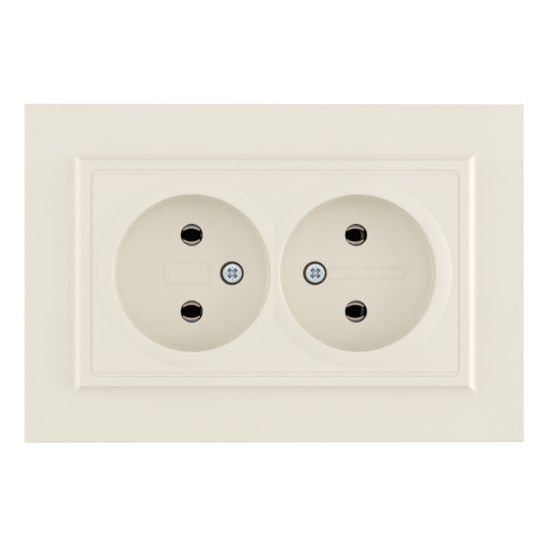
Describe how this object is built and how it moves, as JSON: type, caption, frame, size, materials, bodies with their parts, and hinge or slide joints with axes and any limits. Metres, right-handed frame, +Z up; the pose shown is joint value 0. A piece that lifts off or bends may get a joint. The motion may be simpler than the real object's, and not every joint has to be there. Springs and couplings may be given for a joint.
{
  "type": "duplex wall outlet",
  "caption": "Flush double socket outlet with two round unearthed wells, a stepped rectangular frame, steel bracket, sprung contacts, screw terminals and spreading claws.",
  "frame": {"origin": "middle of the wall box's mouth, in the plane of the wall's surface", "axes": "+X to the viewer's right as seen from the front, +Y into the wall, +Z up; the front faces -Y"},
  "size_m": [0.1234, 0.0416, 0.0834],
  "materials": {
    "cream_plastic": "moulded, satin to semi-gloss, fine texture",
    "black_plastic": "moulded, matt",
    "nylon": "natural nylon",
    "galvanised_steel": "zinc coated sheet",
    "bright_zinc": "bright zinc plate",
    "spring_steel": "plain spring steel",
    "brass": "rolled brass strip, dulled"
  },
  "bodies": {
    "housing": {"front_cover": "cream_plastic", "outer_frame": "cream_plastic", "mounting_bracket": "galvanised_steel", "socket_base": "black_plastic", "rear_cover": "black_plastic", "bus_bar_upper": "brass", "bus_bar_lower": "brass", "assembly_rivet_upper": "galvanised_steel", "assembly_rivet_lower": "galvanised_steel", "contact_rivet_upper_left_top": "brass", "contact_rivet_upper_left_bottom": "brass", "contact_rivet_upper_right_top": "brass", "contact_rivet_upper_right_bottom": "brass", "contact_rivet_lower_left_top": "brass", "contact_rivet_lower_left_bottom": "brass", "contact_rivet_lower_right_top": "brass", "contact_rivet_lower_right_bottom": "brass", "threaded_insert_left": "brass", "threaded_insert_right": "brass", "claw_pin_left": "galvanised_steel", "claw_pin_right": "galvanised_steel"},
    "contact_upper_left_top": {"contact_leaf_upper_left_top": "brass", "backing_spring_upper_left_top": "spring_steel"},
    "contact_upper_left_bottom": {"contact_leaf_upper_left_bottom": "brass", "backing_spring_upper_left_bottom": "spring_steel"},
    "contact_upper_right_top": {"contact_leaf_upper_right_top": "brass", "backing_spring_upper_right_top": "spring_steel"},
    "contact_upper_right_bottom": {"contact_leaf_upper_right_bottom": "brass", "backing_spring_upper_right_bottom": "spring_steel"},
    "contact_lower_left_top": {"contact_leaf_lower_left_top": "brass", "backing_spring_lower_left_top": "spring_steel"},
    "contact_lower_left_bottom": {"contact_leaf_lower_left_bottom": "brass", "backing_spring_lower_left_bottom": "spring_steel"},
    "contact_lower_right_top": {"contact_leaf_lower_right_top": "brass", "backing_spring_lower_right_top": "spring_steel"},
    "contact_lower_right_bottom": {"contact_leaf_lower_right_bottom": "brass", "backing_spring_lower_right_bottom": "spring_steel"},
    "terminal_clamp_upper_left": {"terminal_clamp_upper_left": "galvanised_steel"},
    "terminal_screw_upper_left": {"terminal_screw_upper_left": "bright_zinc"},
    "terminal_clamp_lower_left": {"terminal_clamp_lower_left": "galvanised_steel"},
    "terminal_screw_lower_left": {"terminal_screw_lower_left": "bright_zinc"},
    "terminal_clamp_upper_right": {"terminal_clamp_upper_right": "galvanised_steel"},
    "terminal_screw_upper_right": {"terminal_screw_upper_right": "bright_zinc"},
    "terminal_clamp_lower_right": {"terminal_clamp_lower_right": "galvanised_steel"},
    "terminal_screw_lower_right": {"terminal_screw_lower_right": "bright_zinc"},
    "screw_retainer_left": {"screw_retainer_left": "nylon"},
    "cover_screw_left": {"cover_screw_left": "bright_zinc"},
    "screw_retainer_right": {"screw_retainer_right": "nylon"},
    "cover_screw_right": {"cover_screw_right": "bright_zinc"},
    "claw_left": {"claw_left": "galvanised_steel"},
    "claw_nut_left": {"claw_nut_left": "galvanised_steel"},
    "claw_screw_left": {"claw_screw_left": "bright_zinc"},
    "claw_right": {"claw_right": "galvanised_steel"},
    "claw_nut_right": {"claw_nut_right": "galvanised_steel"},
    "claw_screw_right": {"claw_screw_right": "bright_zinc"}
  },
  "joints": [
    {"name": "contact_upper_left_top_flex", "type": "hinge", "parent": "housing", "child": "contact_upper_left_top", "pos_m": [-0.0204, 0.0162, 0.0122], "axis": [-1, 0, 0], "range_deg": [0, 3], "stiffness_Nm_per_rad": 1.5},
    {"name": "contact_upper_left_bottom_flex", "type": "hinge", "parent": "housing", "child": "contact_upper_left_bottom", "pos_m": [-0.0204, 0.0162, 0.0068], "axis": [1, 0, 0], "range_deg": [0, 3], "stiffness_Nm_per_rad": 1.5},
    {"name": "contact_upper_right_top_flex", "type": "hinge", "parent": "housing", "child": "contact_upper_right_top", "pos_m": [0.0204, 0.0162, 0.0122], "axis": [-1, 0, 0], "range_deg": [0, 3], "stiffness_Nm_per_rad": 1.5},
    {"name": "contact_upper_right_bottom_flex", "type": "hinge", "parent": "housing", "child": "contact_upper_right_bottom", "pos_m": [0.0204, 0.0162, 0.0068], "axis": [1, 0, 0], "range_deg": [0, 3], "stiffness_Nm_per_rad": 1.5},
    {"name": "contact_lower_left_top_flex", "type": "hinge", "parent": "housing", "child": "contact_lower_left_top", "pos_m": [-0.0204, 0.0162, -0.0068], "axis": [-1, 0, 0], "range_deg": [0, 3], "stiffness_Nm_per_rad": 1.5},
    {"name": "contact_lower_left_bottom_flex", "type": "hinge", "parent": "housing", "child": "contact_lower_left_bottom", "pos_m": [-0.0204, 0.0162, -0.0122], "axis": [1, 0, 0], "range_deg": [0, 3], "stiffness_Nm_per_rad": 1.5},
    {"name": "contact_lower_right_top_flex", "type": "hinge", "parent": "housing", "child": "contact_lower_right_top", "pos_m": [0.0204, 0.0162, -0.0068], "axis": [-1, 0, 0], "range_deg": [0, 3], "stiffness_Nm_per_rad": 1.5},
    {"name": "contact_lower_right_bottom_flex", "type": "hinge", "parent": "housing", "child": "contact_lower_right_bottom", "pos_m": [0.0204, 0.0162, -0.0122], "axis": [1, 0, 0], "range_deg": [0, 3], "stiffness_Nm_per_rad": 1.5},
    {"name": "terminal_clamp_upper_left_lift", "type": "slide", "parent": "housing", "child": "terminal_clamp_upper_left", "axis": [0, 0, 1], "range_m": [-0.0005, 0.0012]},
    {"name": "terminal_screw_upper_left_turn", "type": "hinge", "parent": "terminal_clamp_upper_left", "child": "terminal_screw_upper_left", "pos_m": [-0.008, 0.0173, 0.0186], "axis": [0, 0, 1], "range_deg": [-301, 721]},
    {"name": "terminal_clamp_lower_left_lift", "type": "slide", "parent": "housing", "child": "terminal_clamp_lower_left", "axis": [0, 0, -1], "range_m": [-0.0005, 0.0012]},
    {"name": "terminal_screw_lower_left_turn", "type": "hinge", "parent": "terminal_clamp_lower_left", "child": "terminal_screw_lower_left", "pos_m": [-0.008, 0.0173, -0.0186], "axis": [0, 0, -1], "range_deg": [-301, 721]},
    {"name": "terminal_clamp_upper_right_lift", "type": "slide", "parent": "housing", "child": "terminal_clamp_upper_right", "axis": [0, 0, 1], "range_m": [-0.0005, 0.0012]},
    {"name": "terminal_screw_upper_right_turn", "type": "hinge", "parent": "terminal_clamp_upper_right", "child": "terminal_screw_upper_right", "pos_m": [0.008, 0.0173, 0.0186], "axis": [0, 0, 1], "range_deg": [-301, 721]},
    {"name": "terminal_clamp_lower_right_lift", "type": "slide", "parent": "housing", "child": "terminal_clamp_lower_right", "axis": [0, 0, -1], "range_m": [-0.0005, 0.0012]},
    {"name": "terminal_screw_lower_right_turn", "type": "hinge", "parent": "terminal_clamp_lower_right", "child": "terminal_screw_lower_right", "pos_m": [0.008, 0.0173, -0.0186], "axis": [0, 0, -1], "range_deg": [-301, 721]},
    {"name": "screw_retainer_left_travel", "type": "slide", "parent": "housing", "child": "screw_retainer_left", "axis": [0, -1, 0], "range_m": [0, 0.004]},
    {"name": "cover_screw_left_turn", "type": "hinge", "parent": "screw_retainer_left", "child": "cover_screw_left", "pos_m": [-0.0103, -0.0022, 0], "axis": [0, -1, 0], "range_deg": [0, 2881]},
    {"name": "screw_retainer_right_travel", "type": "slide", "parent": "housing", "child": "screw_retainer_right", "axis": [0, -1, 0], "range_m": [0, 0.004]},
    {"name": "cover_screw_right_turn", "type": "hinge", "parent": "screw_retainer_right", "child": "cover_screw_right", "pos_m": [0.0103, -0.0022, 0], "axis": [0, -1, 0], "range_deg": [0, 2881]},
    {"name": "claw_screw_left_turn", "type": "hinge", "parent": "housing", "child": "claw_screw_left", "pos_m": [-0.0229, 0.0009, 0], "axis": [0, 1, 0], "range_deg": [0, 1369]},
    {"name": "claw_nut_left_travel", "type": "slide", "parent": "housing", "child": "claw_nut_left", "axis": [0, -1, 0], "range_m": [0, 0.0019]},
    {"name": "claw_left_swing", "type": "hinge", "parent": "housing", "child": "claw_left", "pos_m": [-0.0272, 0.0186, 0], "axis": [0, 0, -1], "range_deg": [0, 30.1]},
    {"name": "claw_screw_right_turn", "type": "hinge", "parent": "housing", "child": "claw_screw_right", "pos_m": [0.0229, 0.0009, 0], "axis": [0, 1, 0], "range_deg": [0, 1369]},
    {"name": "claw_nut_right_travel", "type": "slide", "parent": "housing", "child": "claw_nut_right", "axis": [0, -1, 0], "range_m": [0, 0.0019]},
    {"name": "claw_right_swing", "type": "hinge", "parent": "housing", "child": "claw_right", "pos_m": [0.0272, 0.0186, 0], "axis": [0, 0, 1], "range_deg": [0, 30.1]}
  ],
  "couplings": [
    {"joint": "terminal_screw_upper_left_turn", "follows": "terminal_clamp_upper_left_lift", "rad_per_m": 10472},
    {"joint": "terminal_screw_lower_left_turn", "follows": "terminal_clamp_lower_left_lift", "rad_per_m": 10472},
    {"joint": "terminal_screw_upper_right_turn", "follows": "terminal_clamp_upper_right_lift", "rad_per_m": 10472},
    {"joint": "terminal_screw_lower_right_turn", "follows": "terminal_clamp_lower_right_lift", "rad_per_m": 10472},
    {"joint": "cover_screw_left_turn", "follows": "screw_retainer_left_travel", "rad_per_m": 12566},
    {"joint": "cover_screw_right_turn", "follows": "screw_retainer_right_travel", "rad_per_m": 12566},
    {"joint": "claw_screw_left_turn", "follows": "claw_nut_left_travel", "rad_per_m": 12566},
    {"joint": "claw_left_swing", "follows": "claw_nut_left_travel", "rad_per_m": 275.58},
    {"joint": "claw_screw_right_turn", "follows": "claw_nut_right_travel", "rad_per_m": 12566},
    {"joint": "claw_right_swing", "follows": "claw_nut_right_travel", "rad_per_m": 275.58}
  ]
}
